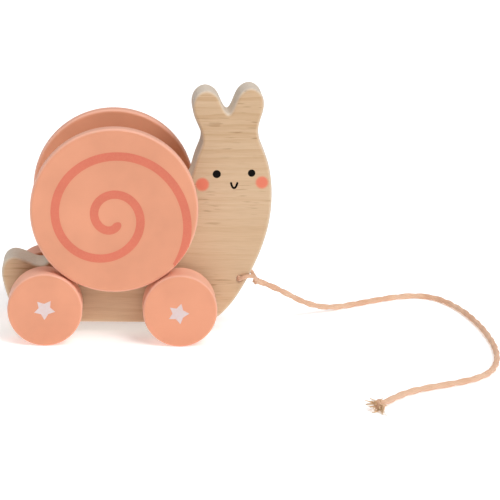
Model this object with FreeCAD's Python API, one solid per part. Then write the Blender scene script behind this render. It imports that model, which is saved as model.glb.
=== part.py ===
"""Pull-along wooden snail on four wheels, with a turning shell of two discs and a twisted cord.

Frame: +X forward (the way it is pulled), +Y to the toy's left, +Z up, floor at Z = 0. The origin is the
middle of the toy's own box, cord left out, on the floor. Lengths are millimetres, and every sub-part is
written to parts/NAME.step.
"""
import FreeCAD, Part
import math
import os
from FreeCAD import Vector

# Driving dimensions -------------------------------------------------------------------------------
BOARD_THICK = 24.0          # the snail is sawn from one board
BOARD_ROUND = 2.0           # rounded edges of the board
BASE_Z = 7.5                # underside of the board above the floor

WHEEL_R = 22.0
WHEEL_THICK = 19.0
WHEEL_ROUND = 1.5
TRACK_OUTER = 71.0          # over the wheels' outer faces
REAR_X, FRONT_X = -53.7, 25.8

SHELL_X, SHELL_Z = -13.7, 81.8
SHELL_R = 49.0
SHELL_THICK = 9.5
SHELL_ROUND = 2.0
SHELL_OUTER = 67.0          # over the discs' outer faces
HUMP_R = 36.0               # the board behind the discs, round the shell's axle

WHEEL_DOWEL_R, WHEEL_DOWEL_DEPTH = 4.0, 13.0
SHELL_DOWEL_R, SHELL_DOWEL_DEPTH = 5.0, 6.0
RUNNING_CLEARANCE = 0.08    # radial, dowel in the board
BORE_CHAMFER = 0.6
SIDE_PLAY = 0.4             # each side, washer or collar to the board
WASHER_R = 9.0
COLLAR_R = 13.0
WASHER_HOLE_GAP = 0.05      # radial, round the dowel
EDGE_BREAK = 0.5

CORD_D = 3.8                # two plies twisted together
PLY_D = 2.4                 # one ply, which is threaded through the chest
CORD_HOLE_R = 1.7
CORD_HOLE_X, CORD_HOLE_Z = 61.9, 35.9
CHEST_KNOT = Vector(72.9, 0, 31.4)
CHEST_KNOT_R = 2.9
END_KNOT = Vector(130.8, -143.2, 3.3)
END_KNOT_R = 3.3
FRAY_LENGTH = 11.0
FRAY_TIP_R = 3.2
FLOOR_LINE = CORD_D / 2     # height of the cord's centre where it lies on the floor

# The board's outline, (x, z), from the front of the base up the chest, over the head and the hump,
# down the tail and back to the base. The hump is an arc round the shell's axle.
CHEST_AND_HEAD = [
    (38.0, BASE_Z), (46.0, 9.2), (53.6, 15.2), (60.6, 24.4), (68.0, 38.2), (74.2, 53.2), (78.2, 67.6),
    (79.9, 84.0), (78.9, 98.5), (76.0, 110.2), (72.6, 118.2), (70.6, 127.4), (73.4, 140.2),
    (71.8, 148.2), (65.4, 151.8), (59.8, 148.8), (55.9, 140.8), (52.7, 136.1), (49.4, 140.0),
    (45.6, 147.0), (39.8, 149.8), (34.1, 147.1), (31.7, 141.6), (32.5, 134.8), (36.1, 126.6),
    (37.5, 119.2), (34.9, 111.0), (32.6, 102.8), (29.2, 95.6), (24.0, 93.6),
]
HUMP_ANGLES = [36, 63, 90, 117, 144, 171]
OUTLINE_SPLIT = 3           # points from one edge of the outline to the next
REAR_AND_TAIL = [
    (-50.3, 66.0), (-51.4, 52.0), (-54.8, 43.4), (-60.0, 43.3), (-64.6, 45.2), (-69.0, 47.0),
    (-73.6, 47.6), (-77.6, 45.5), (-79.6, 41.8), (-80.0, 37.6), (-79.2, 32.0), (-77.2, 24.6),
    (-73.2, 15.4), (-67.4, 9.4), (-58.0, BASE_Z),
]

# The free cord's route from the chest knot: down to the floor, out and round to the end knot.
CORD_ROUTE = [
    (80.2, 5.8, 27.4), (92.0, 14.0, 19.8), (104.5, 24.5, 10.6), (116.5, 34.2, 4.4),
    (129.0, 42.8, FLOOR_LINE), (142.0, 50.4, FLOOR_LINE), (156.5, 59.6, FLOOR_LINE),
    (172.0, 67.6, FLOOR_LINE), (186.5, 70.4, FLOOR_LINE), (198.0, 62.5, FLOOR_LINE),
    (206.5, 44.0, FLOOR_LINE), (212.2, 18.5, FLOOR_LINE), (215.0, -9.5, FLOOR_LINE),
    (215.0, -38.0, FLOOR_LINE), (211.6, -62.5, FLOOR_LINE), (204.0, -83.0, FLOOR_LINE),
    (191.5, -96.2, FLOOR_LINE), (176.5, -104.4, FLOOR_LINE), (160.5, -111.6, FLOOR_LINE),
    (147.2, -121.0, FLOOR_LINE), (138.4, -132.4, 2.4),
]

# The ply's loop on each side: out of the hole, round the chest's edge and in to the knot.
LOOP_RIGHT = [(CORD_HOLE_X, -13.4, CORD_HOLE_Z), (66.6, -13.7, 38.2), (72.0, -10.3, 36.8)]
LOOP_LEFT = [(CORD_HOLE_X, 13.4, CORD_HOLE_Z), (66.8, 13.7, 36.0), (71.4, 10.2, 34.4)]

ALONG_Y = Vector(0, 1, 0)
SIDES = (("right", -1), ("left", 1))


def cylinder(radius, x, z, y_from, y_to):
    low, high = sorted((y_from, y_to))
    return Part.makeCylinder(radius, high - low, Vector(x, low, z), ALONG_Y)


def mouth(radius, x, z, y, inwards):
    """Cone that chamfers a bore's mouth on the face at y; inwards is the sign of Y into the wood."""
    outer = radius + BORE_CHAMFER
    return Part.makeCone(outer, radius, BORE_CHAMFER, Vector(x, y, z), Vector(0, inwards, 0))


def through_bore(solid, radius, x, z, half_width):
    solid = solid.cut(cylinder(radius, x, z, -half_width - 1, half_width + 1))
    for side in (-1, 1):
        solid = solid.cut(mouth(radius, x, z, side * half_width, -side))
    return solid


def face_edges(solid, *planes):
    """The edges that lie in the planes y = each of the values given."""
    found = []
    for edge in solid.Edges:
        box = edge.BoundBox
        if any(abs(box.YMin - y) < 1e-3 and abs(box.YMax - y) < 1e-3 for y in planes):
            found.append(edge)
    return found


def board_outline():
    """One smooth curve through the outline's points, from edge to edge of the flat base."""
    hump = [(SHELL_X + HUMP_R * math.cos(math.radians(a)), SHELL_Z + HUMP_R * math.sin(math.radians(a)))
            for a in HUMP_ANGLES]
    points = [Vector(x, 0, z) for x, z in CHEST_AND_HEAD + hump + REAR_AND_TAIL]
    reached = [0.0]
    for here, after in zip(points, points[1:]):
        reached.append(reached[-1] + (after - here).Length)
    forward = Vector(1, 0, 0)
    curve = Part.BSplineCurve()
    curve.interpolate(Points=points, Parameters=reached, InitialTangent=forward, FinalTangent=forward,
                      Scale=False)
    cuts = reached[:-1:OUTLINE_SPLIT] + reached[-1:]
    stretches = [curve.toShape(low, high) for low, high in zip(cuts, cuts[1:])]
    return Part.Wire([Part.makeLine(points[-1], points[0])] + stretches)


def snail_body():
    half = BOARD_THICK / 2
    outline = board_outline()
    outline.translate(Vector(0, -half, 0))
    solid = Part.Face(outline).extrude(Vector(0, BOARD_THICK, 0))
    solid = solid.makeFillet(BOARD_ROUND, face_edges(solid, -half, half))
    for x in (REAR_X, FRONT_X):
        solid = through_bore(solid, WHEEL_DOWEL_R + RUNNING_CLEARANCE, x, WHEEL_R, half)
    solid = through_bore(solid, SHELL_DOWEL_R + RUNNING_CLEARANCE, SHELL_X, SHELL_Z, half)
    return through_bore(solid, CORD_HOLE_R, CORD_HOLE_X, CORD_HOLE_Z, half)


def round_disc(radius, thick, rounding, x, z, outer_face, side, bore_r, bore_depth):
    """A turned disc whose outer face is at side * outer_face, with a blind bore from its inner face."""
    outer, inner = side * outer_face, side * (outer_face - thick)
    disc = cylinder(radius, x, z, outer, inner)
    disc = disc.makeFillet(rounding, face_edges(disc, outer, inner))
    disc = disc.cut(cylinder(bore_r, x, z, inner, inner + side * bore_depth))
    return disc.cut(mouth(bore_r, x, z, inner, side))


def dowel(radius, x, z, half_length):
    rod = cylinder(radius, x, z, -half_length, half_length)
    return rod.makeChamfer(EDGE_BREAK, face_edges(rod, -half_length, half_length))


def ring(outer_r, hole_r, x, z, side, y_from, y_to):
    solid = cylinder(outer_r, x, z, side * y_from, side * y_to)
    solid = solid.makeChamfer(EDGE_BREAK, face_edges(solid, side * y_from))
    return solid.cut(cylinder(hole_r, x, z, side * (y_from - 1), side * (y_to + 1)))


def tube(points, diameter, name):
    """A round tube along straight runs joined by tangent arcs, each as large as its two runs allow."""
    points = [Vector(*p) for p in points]
    start = points[0]
    edges, radii = [], []
    length = 0.0
    for before, corner, after in zip(points, points[1:], points[2:]):
        back, ahead = before - corner, after - corner
        half_turn = (math.pi - back.getAngle(ahead)) / 2
        shorter = min(back.Length, ahead.Length)
        radius = 0.45 * shorter / math.tan(half_turn)
        trim = radius * math.tan(half_turn)
        back.normalize()
        ahead.normalize()
        centre_way = (back + ahead).normalize()
        arc_from, arc_to = corner + back * trim, corner + ahead * trim
        arc_mid = corner + centre_way * (radius / math.cos(half_turn) - radius)
        edges.append(Part.LineSegment(start, arc_from).toShape())
        edges.append(Part.Arc(arc_from, arc_mid, arc_to).toShape())
        radii.append(radius)
        start = arc_to
    edges.append(Part.LineSegment(start, points[-1]).toShape())
    path = Part.Wire(edges)
    heading = points[1] - points[0]
    section = Part.Wire(Part.makeCircle(diameter / 2, points[0], heading))
    solid = path.makePipeShell([section], True, False)
    expected = math.pi * diameter ** 2 / 4 * path.Length
    print(f"{name}: length {path.Length:.1f}, volume / (section x length) {solid.Volume / expected:.4f}")
    print("  arc radii", [round(r, 1) for r in radii])
    return solid


def ball(centre, radius):
    return Part.makeSphere(radius, centre)


def frayed_tail(knot, heading):
    """The loose ends beyond the end knot: a cone that opens away from it and lies on the floor."""
    heading.normalize()
    rise = (FRAY_TIP_R - END_KNOT.z) / FRAY_LENGTH
    axis = Vector(heading.x, heading.y, rise).normalize()
    cone = Part.makeCone(CORD_D / 2, FRAY_TIP_R, END_KNOT_R + FRAY_LENGTH, END_KNOT, axis)
    below = Part.makeBox(60, 60, 10, END_KNOT - Vector(30, 30, 10 + END_KNOT.z))
    return cone.cut(knot).cut(below)


def build():
    half = BOARD_THICK / 2
    parts = {"snail_body": snail_body()}

    for end, x in (("rear", REAR_X), ("front", FRONT_X)):
        inner = TRACK_OUTER / 2 - WHEEL_THICK
        parts[f"{end}_axle"] = dowel(WHEEL_DOWEL_R, x, WHEEL_R, inner + WHEEL_DOWEL_DEPTH)
        for name, side in SIDES:
            parts[f"{end}_wheel_{name}"] = round_disc(
                WHEEL_R, WHEEL_THICK, WHEEL_ROUND, x, WHEEL_R, TRACK_OUTER / 2, side,
                WHEEL_DOWEL_R, WHEEL_DOWEL_DEPTH)
            parts[f"{end}_washer_{name}"] = ring(
                WASHER_R, WHEEL_DOWEL_R + WASHER_HOLE_GAP, x, WHEEL_R, side, half + SIDE_PLAY, inner)

    inner = SHELL_OUTER / 2 - SHELL_THICK
    parts["shell_axle"] = dowel(SHELL_DOWEL_R, SHELL_X, SHELL_Z, inner + SHELL_DOWEL_DEPTH)
    for name, side in SIDES:
        parts[f"shell_disc_{name}"] = round_disc(
            SHELL_R, SHELL_THICK, SHELL_ROUND, SHELL_X, SHELL_Z, SHELL_OUTER / 2, side,
            SHELL_DOWEL_R, SHELL_DOWEL_DEPTH)
        parts[f"shell_spacer_{name}"] = ring(
            COLLAR_R, SHELL_DOWEL_R + WASHER_HOLE_GAP, SHELL_X, SHELL_Z, side, half + SIDE_PLAY, inner)

    chest_knot, end_knot = ball(CHEST_KNOT, CHEST_KNOT_R), ball(END_KNOT, END_KNOT_R)
    loop = [CHEST_KNOT] + LOOP_RIGHT[::-1] + LOOP_LEFT + [CHEST_KNOT]
    parts["cord_loop"] = tube(loop, PLY_D, "cord_loop").cut(chest_knot)
    route = [CHEST_KNOT] + CORD_ROUTE + [END_KNOT]
    parts["pull_cord"] = tube(route, CORD_D, "pull_cord").cut(chest_knot).cut(end_knot)
    parts["chest_knot"] = chest_knot
    parts["end_knot"] = end_knot
    parts["frayed_tail"] = frayed_tail(end_knot, END_KNOT - Vector(*CORD_ROUTE[-1]))
    return parts


def main():
    os.makedirs("parts", exist_ok=True)
    for name, shape in build().items():
        if len(shape.Solids) != 1 or not shape.isValid():
            raise RuntimeError(f"{name} has {len(shape.Solids)} solids, valid {shape.isValid()}")
        shape.Solids[0].exportStep(f"parts/{name}.step")
        box = shape.BoundBox
        print(f"{name}: x {box.XMin:.2f}..{box.XMax:.2f}  y {box.YMin:.2f}..{box.YMax:.2f}"
              f"  z {box.ZMin:.2f}..{box.ZMax:.2f}")


main()
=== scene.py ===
import math
import random

import bmesh
import bpy
import numpy as np
from mathutils import Matrix, Vector


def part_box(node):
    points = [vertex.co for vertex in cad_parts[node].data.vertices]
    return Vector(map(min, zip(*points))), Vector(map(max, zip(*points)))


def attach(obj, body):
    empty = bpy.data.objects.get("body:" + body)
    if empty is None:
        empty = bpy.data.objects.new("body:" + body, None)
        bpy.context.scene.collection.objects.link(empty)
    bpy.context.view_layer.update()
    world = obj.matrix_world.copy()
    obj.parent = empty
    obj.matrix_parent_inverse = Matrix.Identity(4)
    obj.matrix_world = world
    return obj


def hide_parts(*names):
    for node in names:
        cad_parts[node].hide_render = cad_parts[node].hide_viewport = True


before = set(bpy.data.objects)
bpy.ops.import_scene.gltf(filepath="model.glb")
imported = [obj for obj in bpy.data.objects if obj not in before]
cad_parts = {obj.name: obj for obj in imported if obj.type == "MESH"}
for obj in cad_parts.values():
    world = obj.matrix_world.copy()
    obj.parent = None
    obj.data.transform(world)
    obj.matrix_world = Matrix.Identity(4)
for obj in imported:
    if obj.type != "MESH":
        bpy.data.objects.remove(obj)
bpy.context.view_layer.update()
MM = 0.001

# ---------------------------------------------------------------- sizes, in metres
BOARD_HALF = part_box("snail_body")[1].y
SHELL_CENTRE = (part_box("shell_disc_right")[0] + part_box("shell_disc_right")[1]) / 2
SHELL_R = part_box("shell_disc_right")[1].z - SHELL_CENTRE.z
SHELL_FACE = -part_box("shell_disc_right")[0].y
WHEEL_FACE = -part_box("front_wheel_right")[0].y
ROUND_OVER = 2.0 * MM

# The cord: the rope's two plies, the single ply of its loop, which swells to fill its hole in
# the board, and the frayed ends.
ROPE_PITCH, ROPE_PLY_R, ROPE_PLY_OFFSET = 23 * MM, 1.38 * MM, 0.46 * MM
LOOP_PLY_R, LOOP_SWELL, LOOP_EASE = 1.15 * MM, 0.52 * MM, 1.2 * MM
TUFT_STRANDS, TUFT_YARNS = 58, 24
FIBRE_GAP, KNOT_GAP, STRAND_GAP, TUFT_GAP = 0.00012, 0.00004, 0.00003, 0.00002
CHEST_KNOT = Vector((0.0729, 0, 0.0314))
END_KNOT = Vector((0.1308, -0.1432, 0.0033))
CORD_HOLE = (0.0619, 0.0359)
# The height of the cord's middle where it lies on the floor.
FLOOR_LINE = 0.0019

CORD_ROUTE = [
    (0.0802, 0.0058, 0.0274), (0.0920, 0.0140, 0.0198), (0.1045, 0.0245, 0.0106),
    (0.1165, 0.0342, 0.0044), (0.1290, 0.0428, FLOOR_LINE), (0.1420, 0.0504, FLOOR_LINE),
    (0.1565, 0.0596, FLOOR_LINE), (0.1720, 0.0676, FLOOR_LINE), (0.1865, 0.0704, FLOOR_LINE),
    (0.1980, 0.0625, FLOOR_LINE), (0.2065, 0.0440, FLOOR_LINE), (0.2122, 0.0185, FLOOR_LINE),
    (0.2150, -0.0095, FLOOR_LINE), (0.2150, -0.0380, FLOOR_LINE),
    (0.2116, -0.0625, FLOOR_LINE), (0.2040, -0.0830, FLOOR_LINE),
    (0.1915, -0.0962, FLOOR_LINE), (0.1765, -0.1044, FLOOR_LINE),
    (0.1605, -0.1116, FLOOR_LINE), (0.1472, -0.1210, FLOOR_LINE), (0.1384, -0.1324, 0.0024),
]
LOOP_RIGHT = [(CORD_HOLE[0], -0.0095, CORD_HOLE[1]), (CORD_HOLE[0], -0.0134, CORD_HOLE[1]),
              (0.0666, -0.0137, 0.0382), (0.0720, -0.0103, 0.0368)]
LOOP_LEFT = [(CORD_HOLE[0], 0.0095, CORD_HOLE[1]), (CORD_HOLE[0], 0.0134, CORD_HOLE[1]),
             (0.0668, 0.0137, 0.0360), (0.0714, 0.0102, 0.0344)]


# ---------------------------------------------------------------- camera, floor and light
YAW, PITCH, ROLL = (math.radians(a) for a in (4.45, 15.21, 1.79))
AIM, DISTANCE = Vector((0.06868, 0, 0.0505)), 1.17233
SENSOR_MM, LENS_MM = 36, 139.43
FLOOR_HALF, FLOOR_ALBEDO, FLOOR_GLOW, SKY_STRENGTH = 5.0, 0.93, 0.36, 0.04
# Each sun's direction, strength and angular size in degrees.
SUNS = {"key": ((0.50, -0.60, 0.92), 2.1, 34),
        "top": ((-0.1, 0.15, 1.0), 1.0, 45),
        "side": ((-1.0, 0.0, 0.7), 0.5, 40)}


def make_camera():
    """A long lens a little over a metre away, looking slightly down at the toy's right side."""
    ahead = Vector((math.sin(YAW) * math.cos(PITCH), math.cos(YAW) * math.cos(PITCH),
                    -math.sin(PITCH)))
    right = Vector((math.cos(YAW), -math.sin(YAW), 0))
    up = right.cross(ahead)
    rolled_right = right * math.cos(ROLL) + up * math.sin(ROLL)
    rolled_up = up * math.cos(ROLL) - right * math.sin(ROLL)
    turn = Matrix((rolled_right, rolled_up, -ahead)).transposed().to_4x4()
    data = bpy.data.cameras.new("camera")
    data.sensor_width, data.lens = SENSOR_MM, LENS_MM
    data.clip_start, data.clip_end = 0.05, 30
    camera = bpy.data.objects.new("camera", data)
    camera.matrix_world = Matrix.Translation(AIM - ahead * DISTANCE) @ turn
    bpy.context.scene.collection.objects.link(camera)
    bpy.context.scene.camera = camera


def make_floor():
    """A plain white floor that glows a little, like a light table."""
    mesh = bpy.data.meshes.new("floor")
    corners = [(x * FLOOR_HALF, y * FLOOR_HALF, 0) for x, y in ((-1, -1), (1, -1), (1, 1), (-1, 1))]
    mesh.from_pydata(corners, [], [(0, 1, 2, 3)])
    floor = bpy.data.objects.new("floor", mesh)
    bpy.context.scene.collection.objects.link(floor)
    paper = bpy.data.materials.new("floor_paper")
    paper.use_nodes = True
    shader = paper.node_tree.nodes["Principled BSDF"]
    shader.inputs["Base Color"].default_value = (FLOOR_ALBEDO,) * 3 + (1,)
    shader.inputs["Roughness"].default_value = 0.9
    shader.inputs["Specular IOR Level"].default_value = 0.1
    shader.inputs["Emission Color"].default_value = (1, 1, 1, 1)
    shader.inputs["Emission Strength"].default_value = FLOOR_GLOW
    mesh.materials.append(paper)


def make_lights():
    """A faint sky, a broad soft key from the upper right, and weak top and side lights."""
    scene = bpy.context.scene
    scene.view_settings.view_transform = "Standard"
    world = bpy.data.worlds.new("studio")
    world.use_nodes = True
    sky = world.node_tree.nodes["Background"]
    sky.inputs["Color"].default_value = (1, 1, 1, 1)
    sky.inputs["Strength"].default_value = SKY_STRENGTH
    scene.world = world
    for name, (towards, strength, spread) in SUNS.items():
        sun = bpy.data.lights.new(name, "SUN")
        sun.energy, sun.angle = strength, math.radians(spread)
        lamp = bpy.data.objects.new(name, sun)
        lamp.rotation_mode = "QUATERNION"
        lamp.rotation_quaternion = Vector(towards).to_track_quat("Z", "Y")
        scene.collection.objects.link(lamp)


# ---------------------------------------------------------------- node materials
def tone(r, g, b):
    """A colour given as 0-255 display values, as the linear colour a shader takes."""
    return tuple(((c / 255 + 0.055) / 1.055) ** 2.4 for c in (r, g, b)) + (1,)


def shaded(colour, share, lift=0.0):
    """A linear colour made darker or paler."""
    return tuple(min(1, c * share + lift) for c in colour[:3]) + (1,)


class Finish:
    """A material in the making: each method adds a node and returns its output socket."""

    def __init__(self, name):
        self.material = bpy.data.materials.new(name)
        self.material.use_nodes = True
        self.tree = self.material.node_tree
        self.shader = self.tree.nodes["Principled BSDF"]
        place = self.tree.nodes.new("ShaderNodeTexCoord")
        self.point, self.normal, self.uv = (place.outputs[n] for n in ("Object", "Normal", "UV"))

    def node(self, kind, inputs, output=0, **settings):
        """A new node with these inputs, each a number, a colour or another node's output."""
        made = self.tree.nodes.new(kind)
        for key, value in settings.items():
            setattr(made, key, value)
        for key, value in inputs.items():
            self.feed(made.inputs[key], value)
        return made.outputs[output]

    def feed(self, socket, value):
        if isinstance(value, bpy.types.NodeSocket):
            self.tree.links.new(value, socket)
        else:
            socket.default_value = value

    def calc(self, kind, a, b=0.0, c=0.0):
        """One step of arithmetic on numbers."""
        return self.node("ShaderNodeMath", {0: a, 1: b, 2: c}, operation=kind)

    def axes(self, vector):
        made = self.tree.nodes.new("ShaderNodeSeparateXYZ")
        self.tree.links.new(vector, made.inputs[0])
        return made.outputs

    def noise(self, vector, scale, detail, rough=0.5):
        return self.node("ShaderNodeTexNoise", {
            "Vector": vector, "Scale": scale, "Detail": detail, "Roughness": rough})

    def long_noise(self, scales, detail=2.0, rough=0.5):
        """Noise with its own scale along each axis, per metre."""
        place = self.node("ShaderNodeVectorMath", {0: self.point, 1: scales}, operation="MULTIPLY")
        return self.noise(place, 1.0, detail, rough)

    def line_noise(self, value, scale=1.0, detail=1.0):
        """Noise that changes with one number only."""
        return self.node("ShaderNodeTexNoise", {"W": value, "Scale": scale, "Detail": detail},
                         noise_dimensions="1D")

    def span(self, value, low, high, to_low=0.0, to_high=1.0):
        """value's run from low to high, eased and mapped to the run from to_low to to_high."""
        return self.node("ShaderNodeMapRange", {
            "Value": value, "From Min": low, "From Max": high, "To Min": to_low,
            "To Max": to_high}, interpolation_type="SMOOTHSTEP")

    def mix(self, share, a, b):
        """Colour a where share is 0, and colour b where it is 1."""
        return self.node("ShaderNodeMix", {0: share, 6: a, 7: b}, 2, data_type="RGBA")

    def bump(self, height, depth, strength):
        """A normal for relief that is depth metres deep where height runs from 0 to 1."""
        return self.node("ShaderNodeBump",
                         {"Height": height, "Distance": depth, "Strength": strength})

    def face_share(self):
        """1 on the flat faces that look along Y, falling to 0 on the edges round them."""
        along_y = self.calc("ABSOLUTE", self.axes(self.normal)[1])
        return self.span(along_y, 0.25, 0.97)

    def arris(self):
        """1 on the rounded edge between a flat face and the edge surface, 0 on both."""
        along_y = self.axes(self.normal)[1]
        square = self.calc("MULTIPLY", along_y, along_y)
        rest = self.calc("SUBTRACT", 1.0, square)
        return self.span(self.calc("MULTIPLY", square, rest), 0.06, 0.25)

    def set(self, **values):
        """Feeds the shader, and returns the finished material."""
        names = {"colour": "Base Color", "rough": "Roughness", "normal": "Normal",
                 "specular": "Specular IOR Level", "sheen": "Sheen Weight",
                 "sheen_rough": "Sheen Roughness"}
        for key, value in values.items():
            self.feed(self.shader.inputs[names[key]], value)
        return self.material


# The board's growth rings are cylinders about a pith that runs along X, well below the board.
PITH_Y, PITH_Z, RING = 0.055, -0.21, 0.0048
PINE_PALE, PINE_MID, PINE_LATE = tone(229, 199, 165), tone(220, 187, 150), tone(199, 158, 114)
# The sawn-edge tone is partly the sawn wood and partly a painted pale grey sheen; the arris tone is
# a painted highlight.
PINE_FLECK, PINE_SAWN_EDGE_SHEEN, PINE_ARRIS_HIGHLIGHT = tone(160, 116, 74), tone(226, 217, 205), tone(234, 222, 206)
# The second peach tone pales the rims and arrises: partly thinner paint, partly a painted
# highlight.
PEACH, PEACH_THIN_PAINT_HIGHLIGHT = tone(236, 161, 126), tone(253, 200, 180)
BEECH_PALE, BEECH_MID, BEECH_DARK = tone(222, 190, 150), tone(212, 176, 134), tone(190, 148, 104)
COTTON_LINT = tone(250, 226, 204)
PAINTED_GRAIN = (30, 600, 600)


def pine_surface(s):
    """Colour and height of planed pine with its grain along X: rings, streaks and flecks."""
    _, y, z = s.axes(s.point)
    sway = s.long_noise((11, 26, 26), 2.5, 0.45)
    from_y = s.calc("SUBTRACT", y, PITH_Y)
    from_z = s.calc("SUBTRACT", z, PITH_Z)
    square = s.calc("ADD", s.calc("MULTIPLY", from_y, from_y), s.calc("MULTIPLY", from_z, from_z))
    radius = s.calc("MULTIPLY_ADD", sway, 0.014, s.calc("SQRT", square))
    # Rings: each darkens towards its late wood and ends at once; some are hardly there.
    crowding = s.line_noise(radius, 55)
    rings = s.calc("MULTIPLY_ADD", crowding, 2.2, s.calc("DIVIDE", radius, RING))
    phase = s.calc("FRACT", rings)
    rise, fall = s.span(phase, 0.25, 0.86), s.span(phase, 0.88, 0.99, 1.0, 0.0)
    late = s.calc("MULTIPLY", rise, fall)
    each_ring = s.line_noise(s.calc("FLOOR", rings), 0.73, 0.0)
    late = s.calc("MULTIPLY", late, s.span(each_ring, 0.3, 0.7, 0.12, 0.85))

    cloud = s.long_noise((7, 13, 18))
    streak = s.long_noise((24, 300, 560), 3.0, 0.6)
    fibre = s.long_noise((90, 2600, 3200), 2.0, 0.6)
    fleck_field = s.long_noise((78, 480, 820), 1.5, 0.55)
    patches = s.long_noise((18, 20, 30), 1.0)
    upwards = s.span(z, 0.100, 0.135, 0.0, 0.16)
    fleck_zone = s.span(s.calc("ADD", patches, upwards), 0.46, 0.64)
    fleck = s.calc("MULTIPLY", s.span(fleck_field, 0.60, 0.73), fleck_zone)

    # The grain is plain on the belly and lively from the eyes up.
    busy = s.span(z, 0.088, 0.128, 0.26, 0.60)
    colour = s.mix(s.span(cloud, 0.32, 0.68), PINE_PALE, PINE_MID)
    colour = s.mix(s.calc("MULTIPLY", late, busy), colour, PINE_LATE)
    colour = s.mix(s.calc("MULTIPLY", s.span(streak, 0.48, 0.78), busy), colour, PINE_LATE)
    colour = s.mix(s.span(streak, 0.24, 0.46, 0.25, 0.0), colour, PINE_PALE)
    colour = s.mix(s.calc("MULTIPLY", fleck, s.calc("ADD", busy, 0.22)), colour, PINE_FLECK)
    colour = s.mix(s.span(fibre, 0.35, 0.75, 0.0, 0.14), colour, PINE_FLECK)
    height = s.calc("MULTIPLY_ADD", late, 0.35, s.calc("MULTIPLY", fibre, 0.5))
    height = s.calc("MULTIPLY_ADD", fleck, -0.8, height)
    return colour, height


def pine():
    """The board: planed faces, sawn edges with open pores that are pale and grey partly from the
    sawn wood and partly from a painted sheen, and softened arrises with a painted highlight.
    """
    s = Finish("pine_board")
    colour, height = pine_surface(s)
    face, arris = s.face_share(), s.arris()
    pores = s.long_noise((500, 900, 900), 2.0, 0.6)
    # Edge surfaces: partly the paler sawn wood, partly a painted pale grey sheen.
    sawn = s.mix(s.span(pores, 0.35, 0.7, 0.0, 0.16), PINE_SAWN_EDGE_SHEEN, PINE_FLECK)
    edge = s.mix(0.8, colour, sawn)
    colour = s.mix(face, edge, colour)
    # A painted highlight along the rounded arrises, partly also the paler sanded wood.
    colour = s.mix(s.calc("MULTIPLY", arris, 0.22), colour, PINE_ARRIS_HIGHLIGHT)
    rough = s.calc("MULTIPLY_ADD", face, -0.16, s.span(pores, 0.3, 0.7, 0.66, 0.8))
    height = s.calc("ADD", height, s.calc("MULTIPLY", pores, s.span(face, 0, 1, 0.5, 0.05)))
    return s.set(colour=colour, rough=rough, specular=0.35,
                 normal=s.bump(height, 0.00022, 0.55))


def peach_paint():
    """Satin paint on wood: faint orange peel, the grain just showing through, arrises rubbed to
    bare wood in spots, and rims and arrises made paler, partly as thinner paint and partly as a
    painted highlight.
    """
    s = Finish("peach_satin")
    cloud = s.noise(s.point, 24, 3.0)
    mottle = s.noise(s.point, 190, 3.0, 0.6)
    grain = s.long_noise(PAINTED_GRAIN, 3.0, 0.6)
    peel = s.noise(s.point, 1300, 1.0)
    arris = s.arris()
    darker, paler = shaded(PEACH, 0.93), shaded(PEACH, 1.05, 0.01)
    colour = s.mix(s.span(cloud, 0.3, 0.7), darker, paler)
    colour = s.mix(s.span(mottle, 0.35, 0.7, 0.0, 0.25), colour, PEACH)
    colour = s.mix(s.span(grain, 0.55, 0.8, 0.0, 0.16), colour, darker)
    # Edge surfaces paler: partly thinner paint, partly a painted highlight of the lit rims.
    rim = s.mix(0.56, colour, PEACH_THIN_PAINT_HIGHLIGHT)
    colour = s.mix(s.face_share(), rim, colour)
    # A painted highlight along the arrises.
    colour = s.mix(s.calc("MULTIPLY", arris, 0.3), colour, PEACH_THIN_PAINT_HIGHLIGHT)
    rub = s.calc("MULTIPLY", s.span(mottle, 0.66, 0.74), s.span(arris, 0.6, 1.0))
    colour = s.mix(s.calc("MULTIPLY", rub, 0.5), colour, PINE_PALE)
    rough = s.calc("MULTIPLY_ADD", arris, 0.06, s.span(cloud, 0.3, 0.7, 0.40, 0.50))
    height = s.calc("MULTIPLY_ADD", grain, 0.7, s.calc("MULTIPLY", peel, 0.45))
    return s.set(colour=colour, rough=rough, specular=0.42,
                 normal=s.bump(height, 0.00012, 0.5))


def beech():
    """Turned hardwood for the dowels, washers and spacers: short flecks along Y."""
    s = Finish("beech")
    cloud = s.long_noise((60, 20, 60))
    fleck = s.long_noise((1400, 260, 1400), 2.0, 0.6)
    colour = s.mix(s.span(cloud, 0.3, 0.7), BEECH_PALE, BEECH_MID)
    colour = s.mix(s.span(fleck, 0.58, 0.72, 0.0, 0.7), colour, BEECH_DARK)
    rough = s.span(cloud, 0.3, 0.7, 0.5, 0.62)
    return s.set(colour=colour, rough=rough, specular=0.35, normal=s.bump(fleck, 0.00015, 0.4))


def cotton(name, body_colour, shade):
    """Soft twisted cotton. U runs along a strand in metres and V once round it."""
    s = Finish(name)
    u, v, _ = s.axes(s.uv)
    turns = s.calc("MULTIPLY_ADD", u, 420.0, s.calc("MULTIPLY", v, 9.0))
    wobble = s.noise(s.point, 900, 2.0)
    turns = s.calc("MULTIPLY_ADD", wobble, 0.9, turns)
    yarn = s.span(s.calc("SINE", s.calc("MULTIPLY", turns, 2 * math.pi)), -1, 1)
    fuzz = s.noise(s.point, 5200, 3.0, 0.7)
    cloud = s.noise(s.point, 60, 3.0, 0.6)
    colour = s.mix(s.span(cloud, 0.3, 0.7), body_colour, shade)
    # Painted shade in the grooves between the yarns.
    colour = s.mix(s.span(yarn, 0.0, 0.55, 0.28, 0.0), colour, shaded(shade, 0.62))
    colour = s.mix(s.span(fuzz, 0.5, 0.8, 0.0, 0.4), colour, COTTON_LINT)
    height = s.calc("MULTIPLY_ADD", yarn, 0.7, s.calc("MULTIPLY", fuzz, 0.6))
    return s.set(colour=colour, rough=0.92, specular=0.12, sheen=0.25, sheen_rough=0.5,
                 normal=s.bump(height, 0.00018, 0.7))


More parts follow.
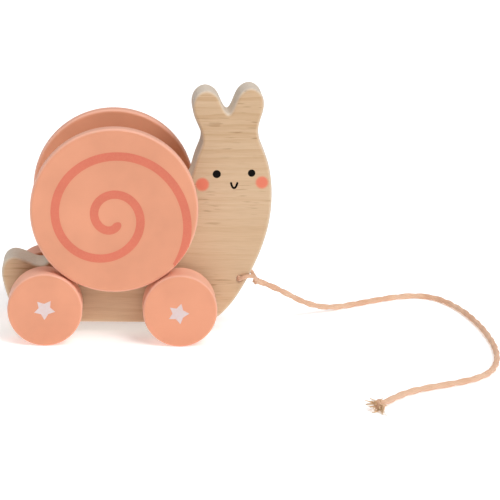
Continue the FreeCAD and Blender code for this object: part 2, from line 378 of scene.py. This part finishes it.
def ink(name, colour, on_pine, cover, rough):
    """Print on pine or on the peach paint, which shows where the ink is thin; cover is its
    greatest density."""
    s = Finish(name)
    if on_pine:
        under, height = pine_surface(s)
    else:
        under, height = PEACH, s.long_noise(PAINTED_GRAIN, 3.0, 0.6)
    film = s.noise(s.point, 800, 3.0, 0.65)
    cloud = s.noise(s.point, 70, 2.0)
    tint = s.mix(s.span(cloud, 0.3, 0.7), shaded(colour, 0.95), colour)
    share = s.span(film, 0.25, 0.65, cover - 0.16, cover)
    return s.set(colour=s.mix(share, under, tint), specular=0.12,
                 rough=s.span(film, 0.3, 0.7, rough, rough + 0.12),
                 normal=s.bump(height, 0.0001, 0.4))


def soft_ink(name, colour):
    """A cheek: dense in the middle and fading out as U, the distance from it, nears 1."""
    s = Finish(name)
    under, height = pine_surface(s)
    film = s.noise(s.point, 1500, 3.0, 0.7)
    from_middle = s.calc("MULTIPLY_ADD", film, 0.16, s.axes(s.uv)[0])
    share = s.span(from_middle, 0.66, 1.08, 0.92, 0.0)
    return s.set(colour=s.mix(share, under, colour), rough=0.55, specular=0.35,
                 normal=s.bump(height, 0.0002, 0.5))


# ---------------------------------------------------------------- meshes
def lay_uvs(mesh, uv):
    """Writes (U, V) for every corner of every face, in order."""
    layer = mesh.uv_layers.new(name="UVMap")
    layer.data.foreach_set("uv", np.asarray(uv, np.float32).ravel())


def piece(name, verts, faces, material, body, uv=None, smooth=True):
    """A mesh object that rides on a body, with the finish it is given."""
    mesh = bpy.data.meshes.new(name)
    mesh.from_pydata([tuple(v) for v in verts], [], faces)
    mesh.materials.append(material)
    mesh.polygons.foreach_set("use_smooth", [smooth] * len(mesh.polygons))
    if uv is not None:
        lay_uvs(mesh, uv)
    mesh.update()
    obj = bpy.data.objects.new(name, mesh)
    bpy.context.scene.collection.objects.link(obj)
    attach(obj, body)
    return obj


# How far a print stands above its surface, and how far its solid reaches below it.
PRINT_LIFT, PRINT_ROOT = 0.06 * MM, 0.10 * MM


class Face:
    """A flat face that looks along Y. Mirrored, both sides of the toy look the same to a viewer."""

    def __init__(self, centre, distance, side, mirrored=True, flat_to=1.0):
        self.centre, self.distance, self.side = centre, distance, side
        self.flip, self.flat_to = -1 if side > 0 and mirrored else 1, flat_to

    def at(self, across, up, lift):
        """The place of a point, which follows the round-over past the flat part of a disc."""
        past = max(0, math.hypot(across, up) - self.flat_to)
        fall = ROUND_OVER - math.sqrt(max(0, ROUND_OVER ** 2 - past ** 2))
        y = self.side * (self.distance + lift - fall)
        return (self.centre[0] + self.flip * across, y, self.centre[1] + up)


def add_print(name, face, grid, material, body, uv_at=None):
    """A thin closed solid on a face. grid has rows of (across, up) points; row joins row."""
    rows, columns = len(grid), len(grid[0])
    verts = [face.at(a, u, lift) for lift in (PRINT_LIFT, -PRINT_ROOT)
             for row in grid for a, u in row]
    low = rows * columns
    faces = []
    for r in range(rows - 1):
        for c in range(columns - 1):
            a, b = r * columns + c, r * columns + c + 1
            faces += [(a, b, b + columns, a + columns),
                      (low + a, low + a + columns, low + b + columns, low + b)]
    border = ([(0, c) for c in range(columns - 1)]
              + [(r, columns - 1) for r in range(rows - 1)]
              + [(rows - 1, c) for c in range(columns - 1, 0, -1)]
              + [(r, 0) for r in range(rows - 1, 0, -1)])
    for (r0, c0), (r1, c1) in zip(border, border[1:] + border[:1]):
        a, b = r0 * columns + c0, r1 * columns + c1
        faces.append((b, a, low + a, low + b))
    obj = piece(name, verts, faces, material, body, smooth=False)
    settle(obj)
    if uv_at is not None:
        corners = [obj.data.vertices[loop.vertex_index].co for loop in obj.data.loops]
        lay_uvs(obj.data, [uv_at(*corner) for corner in corners])


def settle(obj):
    """Welds points that coincide and makes every face look outwards."""
    mesh = bmesh.new()
    mesh.from_mesh(obj.data)
    bmesh.ops.remove_doubles(mesh, verts=mesh.verts, dist=1e-6)
    bmesh.ops.recalc_face_normals(mesh, faces=mesh.faces)
    mesh.to_mesh(obj.data)
    mesh.free()


# ---------------------------------------------------------------- lines
def run_of(line):
    """The length along a line up to each of its points."""
    return np.concatenate([[0], np.cumsum(np.linalg.norm(np.diff(line, axis=0), axis=1))])


def directions(line):
    """The way a line runs at each of its points."""
    ahead = np.gradient(line, axis=0)
    return ahead / np.linalg.norm(ahead, axis=1)[:, None]


# ---------------------------------------------------------------- printed shapes
def stroke(points, width, limit=None, columns=5):
    """Rows of a brush stroke of an even width with round ends, kept within limit of (0, 0)."""
    points = np.asarray(points, float)
    ahead, run = directions(points), run_of(points)
    across = np.stack([-ahead[:, 1], ahead[:, 0]], 1)
    half = width / 2
    short = np.clip(np.minimum(run, run[-1] - run) / half, 0, 1)
    half = half * np.sqrt(np.clip(1 - (1 - short) ** 2, 0.0004, 1))
    rows = []
    for share in np.linspace(-1, 1, columns):
        line = points + across * (half * share)[:, None]
        if limit:
            reach = np.linalg.norm(line, axis=1)
            line *= np.minimum(1, limit / reach)[:, None]
        rows.append([tuple(p) for p in line])
    return [list(row) for row in zip(*rows)]


SPIRAL_MIDDLE, SPIRAL_TURNS, SPIRAL_POINTS = (-2.8, -4.4), (0.055, 2.105), 280


def spiral_line():
    """The painted spiral, from the middle outwards and clockwise; t counts its turns."""
    middle = np.array(SPIRAL_MIDDLE) * MM
    t = np.linspace(*SPIRAL_TURNS, SPIRAL_POINTS)
    growth = 4.2 + 7.0 * t + 7.0 * t ** 2 - 9.0 * np.maximum(t - 1.86, 0)
    radius = (growth + np.cos(3 * math.pi * (t - 0.81))) * MM
    turn = -2 * math.pi * t
    return middle + np.stack([radius * np.cos(turn), radius * np.sin(turn)], 1)


def dab(radius):
    """Rows of a filled round spot, from its middle to its rim."""
    return [[(radius * share * math.cos(a), radius * share * math.sin(a))
             for a in np.linspace(0, 2 * math.pi, 41)] for share in (0.0, 0.35, 0.65, 0.85, 1.0)]


def moved(rows, across, up):
    """The same rows somewhere else on the face."""
    return [[(a + across, u + up) for a, u in row] for row in rows]


def star(outer, inner, tips):
    """Rows of a hand-cut star: tips are the directions of its points, in degrees."""
    rim = []
    for n, angle in enumerate(tips):
        after = tips[(n + 1) % 5] + (360 if n == 4 else 0)
        for turn, reach in ((angle, outer), ((angle + after) / 2, inner)):
            a = math.radians(turn)
            rim.append((reach * math.cos(a), reach * math.sin(a)))
    rim.append(rim[0])
    return [[(a * share, u * share) for a, u in rim] for share in (0.0, 0.4, 0.7, 1.0)]


# ---------------------------------------------------------------- strands
def spline_points(points, steps):
    """Points along one NURBS spline that has these control points."""
    curve = bpy.data.curves.new("route", "CURVE")
    curve.dimensions, curve.resolution_u = "3D", steps
    spline = curve.splines.new("NURBS")
    spline.points.add(len(points) - 1)
    for place, point in zip(spline.points, points):
        place.co = (*point, 1)
    spline.order_u = 3
    spline.use_endpoint_u = True
    route = bpy.data.objects.new("route", curve)
    bpy.context.scene.collection.objects.link(route)
    line = bpy.data.meshes.new_from_object(route)
    found = np.array([v.co for v in line.vertices])
    bpy.data.objects.remove(route)
    bpy.data.curves.remove(curve)
    bpy.data.meshes.remove(line)
    return found


def carried_frames(line):
    """A line's direction and two across it at each point, turned as little as possible."""
    ahead = directions(line)
    side = np.cross(ahead[0], (0, 0, 1.0))
    if np.linalg.norm(side) < 1e-3:
        side = np.cross(ahead[0], (1.0, 0, 0))
    first = np.empty_like(line)
    for n, way in enumerate(ahead):
        side = side - way * side.dot(way)
        side /= np.linalg.norm(side)
        first[n] = side
    return ahead, first, np.cross(ahead, first)


def helix(line, reach, turn):
    """A line that winds round another: reach from it, at the angle turn, for each point."""
    _, a, b = carried_frames(line)
    return line + a * (reach * np.cos(turn))[:, None] + b * (reach * np.sin(turn))[:, None]


def sweep(line, radius, sides, lobes=0, lobe_depth=0.0, lobe_turn=0.0):
    """Points, faces and UVs of a closed tube; lobes are ridges that wind round it."""
    _, a, b = carried_frames(line)
    run = run_of(line)
    radius = np.broadcast_to(radius, len(line))
    verts, faces, uvs = [], [], []
    for n, centre in enumerate(line):
        angle = np.arange(sides) * 2 * math.pi / sides
        ridge = 1 + lobe_depth * np.cos(lobes * angle - lobe_turn * run[n])
        reach = (radius[n] * ridge)[:, None]
        across, up = np.cos(angle)[:, None] * a[n], np.sin(angle)[:, None] * b[n]
        verts.append(centre + reach * (across + up))
    verts = np.concatenate(verts)
    for n in range(len(line) - 1):
        for k in range(sides):
            nxt = (k + 1) % sides
            faces.append((n * sides + k, n * sides + nxt, (n + 1) * sides + nxt,
                          (n + 1) * sides + k))
            uvs += [(run[n], k / sides), (run[n], (k + 1) / sides),
                    (run[n + 1], (k + 1) / sides), (run[n + 1], k / sides)]
    last = (len(line) - 1) * sides
    faces += [tuple(range(sides))[::-1], tuple(range(last, last + sides))]
    uvs += [(0, k / sides) for k in range(sides)][::-1]
    uvs += [(run[-1], k / sides) for k in range(sides)]
    return verts, faces, uvs


def joined(parts):
    """Several tubes' points, faces and UVs as one mesh's."""
    verts, faces, uvs, start = [], [], [], 0
    for v, f, t in parts:
        verts.append(v)
        faces += [tuple(i + start for i in face) for face in f]
        uvs += t
        start += len(v)
    return np.concatenate(verts), faces, uvs


def ply(line, radius, sides, lobe_depth, lobe_pitch):
    """A twisted ply: a tube with four ridges that wind round it."""
    return sweep(line, radius, sides, 4, lobe_depth, 2 * math.pi / lobe_pitch)


def slow_waves(rng, run, scale):
    """A smooth random number from about -1 to 1 along a run."""
    total = np.zeros_like(run)
    for n in range(1, 5):
        total += np.sin(run / scale * n + rng.uniform(0, 2 * math.pi)) / n
    return total / 2.1


def fibres(rng, line, reach, count, length):
    """Loose cotton fibres that stand off a line, each a fine bent tube."""
    ahead, a, b = carried_frames(line)
    made = []
    for _ in range(count):
        n = rng.randrange(2, len(line) - 2)
        turn, lean = rng.uniform(0, 2 * math.pi), rng.uniform(-1, 1)
        out = a[n] * math.cos(turn) + b[n] * math.sin(turn)
        way = ahead[n] * lean + out * rng.uniform(0.3, 0.9)
        curl = np.cross(way, out) * rng.uniform(-1, 1) - out * rng.uniform(0.2, 0.9)
        size = length * rng.uniform(0.4, 1.0)
        steps = np.linspace(0, 1, 5)[:, None]
        path = line[n] + out * reach * 0.9 + (way * steps + curl * steps ** 2 * 0.6) * size
        path[:, 2] = np.maximum(path[:, 2], FIBRE_GAP)
        made.append(sweep(path, np.array((0.055, 0.05, 0.045, 0.035, 0.015)) * MM, 3))
    return made


def make_cord(cloth):
    """The pull cord: two plies laid round each other along the route, with loose fibres."""
    rng = random.Random(7)
    route = spline_points([CHEST_KNOT, *CORD_ROUTE, END_KNOT], 26)
    run = run_of(route)
    twist = 2 * math.pi * run / ROPE_PITCH + 0.7 * slow_waves(rng, run, 33 * MM)
    parts = []
    for start in (0, math.pi):
        reach = ROPE_PLY_OFFSET * (1 + 0.08 * slow_waves(rng, run, 17 * MM))
        thick = ROPE_PLY_R * (1 + 0.03 * slow_waves(rng, run, 11 * MM))
        parts.append(ply(helix(route, reach, twist + start), thick, 20, 0.045, 9 * MM))
    parts += fibres(rng, route, reach=1.75 * MM, count=260, length=2.2 * MM)
    verts, faces, uvs = joined(parts)
    cord = piece("pull_cord_rope", verts, faces, cloth, "snail", uvs)
    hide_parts("pull_cord")
    return cord, route


def make_wrap(name, node, cloth, middle, along, turns, length, reach, thick, seed):
    """A small knot: one ply wound round the cord, with one turn crossing over the others."""
    rng = random.Random(seed)
    along = np.array(Vector(along).normalized())
    side = np.cross(along, (0, 0, 1.0))
    side /= np.linalg.norm(side)
    over = np.cross(side, along)
    t = np.linspace(0, 1, 22 * int(turns + 1))
    angle = 2 * math.pi * turns * t + rng.uniform(0, 6)
    slide = (t - 0.5) * length + 0.25 * MM * np.sin(5 * math.pi * t)
    swell = reach * (1 - 0.18 * (2 * t - 1) ** 2)
    line = (np.array(middle) + along * slide[:, None]
            + side * (swell * np.cos(angle))[:, None] + over * (swell * np.sin(angle))[:, None])
    back = np.linspace(0, 1, 26)
    lap = 2 * math.pi * 0.45 * back + angle[-1]
    high = reach + thick * 0.75 * np.sin(math.pi * back)
    cross = (np.array(middle) + along * ((0.5 - back) * length * 0.9)[:, None]
             + side * (high * np.cos(lap))[:, None] + over * (high * np.sin(lap))[:, None])
    parts = [ply(np.concatenate([line, cross[2:]]), thick, 14, 0.06, 6 * MM)]
    core = np.array(middle) + along * (np.linspace(-0.62, 0.62, 9) * length)[:, None]
    parts.append(sweep(core, reach * 0.95 * np.sqrt(1 - np.linspace(-0.8, 0.8, 9) ** 4), 14))
    parts += fibres(rng, core, reach + thick, count=26, length=1.6 * MM)
    verts, faces, uvs = joined(parts)
    verts[:, 2] = np.maximum(verts[:, 2], KNOT_GAP)
    knot = piece(name, verts, faces, cloth, "snail", uvs)
    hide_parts(node)
    return knot


def make_loop(cloth):
    """The ply that goes through the board, filling its hole, and back to the chest knot."""
    line = spline_points([CHEST_KNOT, *LOOP_RIGHT[::-1], *LOOP_LEFT, CHEST_KNOT], 26)
    in_hole = np.clip((BOARD_HALF + LOOP_EASE - abs(line[:, 1])) / LOOP_EASE, 0, 1)
    in_hole *= np.clip((CORD_HOLE[0] + 1.5 * MM - line[:, 0]) / MM, 0, 1)
    thick = LOOP_PLY_R + LOOP_SWELL * in_hole
    loose = fibres(random.Random(3), line, LOOP_PLY_R, count=24, length=1.4 * MM)
    verts, faces, uvs = joined([ply(line, thick, 18, 0.05, 6 * MM)] + loose)
    loop = piece("cord_loop_ply", verts, faces, cloth, "snail", uvs)
    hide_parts("cord_loop")
    return loop


def make_tuft(cloth):
    """The frayed ends past the end knot: yarns that splay and curl, and finer fibres."""
    rng = random.Random(11)
    along = END_KNOT - Vector(CORD_ROUTE[-1])
    along.z = 0
    along = np.array(along.normalized())
    side, up = np.cross(along, (0, 0, 1.0)), np.array((0, 0, 1.0))
    parts = []
    for n in range(TUFT_STRANDS):
        yarn = n < TUFT_YARNS
        turn = rng.uniform(0, 2 * math.pi)
        out = side * math.cos(turn) + up * math.sin(turn)
        start = np.array(END_KNOT) + along * 1.6 * MM + out * rng.uniform(0.2, 1.5) * MM
        size = rng.uniform(5.0, 7.6) * MM if yarn else rng.uniform(5, 9) * MM
        way = along * rng.uniform(0.35, 1) + out * rng.uniform(0.35, 1.3)
        bend = side * rng.uniform(-0.7, 0.7) + up * rng.uniform(-0.7, 0.15) - along * 0.15
        steps = np.linspace(0, 1, 9)[:, None]
        line = start + (way * steps + bend * steps ** 2) * size * 0.85
        thick = (rng.uniform(0.32, 0.46) if yarn else rng.uniform(0.07, 0.12)) * MM
        line[:, 2] = np.maximum(line[:, 2], thick + STRAND_GAP)
        taper = thick * np.linspace(1.0, 0.55 if yarn else 0.3, 9)
        parts.append(sweep(line, taper, 7 if yarn else 4))
    verts, faces, uvs = joined(parts)
    verts[:, 2] = np.maximum(verts[:, 2], TUFT_GAP)
    tuft = piece("frayed_tail_strands", verts, faces, cloth, "snail", uvs)
    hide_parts("frayed_tail")
    return tuft


# ---------------------------------------------------------------- the model
def make_cords():
    """The cord and everything on it."""
    cloth = cotton("cotton_twist", tone(240, 200, 170), tone(231, 181, 148))
    ends = cotton("cotton_ends", tone(255, 226, 184), tone(244, 194, 144))
    cord, route = make_cord(cloth)
    chest = make_wrap("chest_knot_wrap", "chest_knot", cloth, CHEST_KNOT,
                      Vector(CORD_ROUTE[0]) - CHEST_KNOT, turns=2.0, length=2.8 * MM,
                      reach=1.2 * MM, thick=0.8 * MM, seed=5)
    end = make_wrap("end_knot_wrap", "end_knot", cloth, END_KNOT,
                    END_KNOT - Vector(CORD_ROUTE[-1]), turns=2.0, length=3.8 * MM,
                    reach=2.1 * MM, thick=1.05 * MM, seed=9)
    loop = make_loop(cloth)
    tuft = make_tuft(ends)


def finish_nodes():
    """Gives every CAD part its surface."""
    wood, peach, dowel = pine(), peach_paint(), beech()
    for name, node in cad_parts.items():
        if name == "snail_body":
            finish = wood
        elif "disc" in name or "wheel" in name:
            finish = peach
        else:
            finish = dowel
        for place in range(max(1, len(node.data.materials))):
            if place < len(node.data.materials):
                node.data.materials[place] = finish
            else:
                node.data.materials.append(finish)


# The prints, in millimetres: X and Z of their middles, then a radius or the star's five tips
# in degrees. A cheek's last number is the radius at which it would fade out.
SPIRAL_WIDTH, SMILE_WIDTH = 5.0 * MM, 1.25 * MM
SMILE_X, SMILE_Z, SMILE_HALF, SMILE_DEPTH = 57.1, 95.5, 2.05, 3.7
STARS = {"rear": (-53.9, 22.6, (-90, -12, 56, 132, 198)),
         "front": (24.8, 20.6, (-79, 2, 76, 143, 210))}
STAR_OUTER, STAR_INNER = 6.4 * MM, 3.5 * MM
EYES = {"back": (46.6, 100.1, 2.4), "front": (67.3, 101.0, 2.2)}
CHEEKS = {"back": (38.2, 93.7, 4.95), "front": (73.6, 95.4, 4.6)}
CHEEK_R = 4.4 * MM


def make_prints():
    """The painted spiral, the stars and the face, on both sides of the toy."""
    coral = ink("coral_ink", tone(229, 126, 103), False, 0.98, 0.4)
    white = ink("white_ink", tone(233, 219, 220), False, 0.96, 0.5)
    black = ink("black_ink", tone(12, 8, 7), True, 1.2, 0.65)
    brown = ink("smile_ink", tone(18, 11, 8), True, 1.2, 0.65)
    blush = soft_ink("cheek_ink", tone(243, 126, 99))
    spiral = stroke(spiral_line(), SPIRAL_WIDTH, SHELL_R - 0.5 * MM, 13)
    smile = stroke([((SMILE_X + SMILE_HALF * u) * MM,
                     (SMILE_Z - SMILE_DEPTH * (1 - abs(u) ** 2.3)) * MM)
                    for u in np.linspace(-1, 1, 41)], SMILE_WIDTH)
    for side, name in ((-1, "right"), (1, "left")):
        disc = Face((SHELL_CENTRE.x, SHELL_CENTRE.z), SHELL_FACE, side,
                    flat_to=SHELL_R - ROUND_OVER)
        add_print(f"spiral_{name}", disc, spiral, coral, "shell")
        for end, (x, z, tips) in STARS.items():
            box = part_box(f"{end}_wheel_{name}")
            hub = ((box[0].x + box[1].x) / 2, (box[0].z + box[1].z) / 2)
            rows = moved(star(STAR_OUTER, STAR_INNER, tips), x * MM - hub[0], z * MM - hub[1])
            add_print(f"{end}_star_{name}", Face(hub, WHEEL_FACE, side), rows, white,
                      f"{end}_wheels")
        board = Face((0, 0), BOARD_HALF, side, mirrored=False)
        for eye, (x, z, size) in EYES.items():
            add_print(f"{eye}_eye_{name}", board, moved(dab(size * MM), x * MM, z * MM),
                      black, "snail")
        add_print(f"smile_{name}", board, smile, brown, "snail")
        for cheek, (x, z, fade) in CHEEKS.items():
            add_print(f"{cheek}_cheek_{name}", board, moved(dab(CHEEK_R), x * MM, z * MM), blush,
                      "snail",
                      lambda px, _, pz, x=x, z=z, fade=fade: (
                          math.hypot(px / MM - x, pz / MM - z) / fade, 0.5))


make_camera()
make_floor()
make_lights()
make_cords()
finish_nodes()
make_prints()
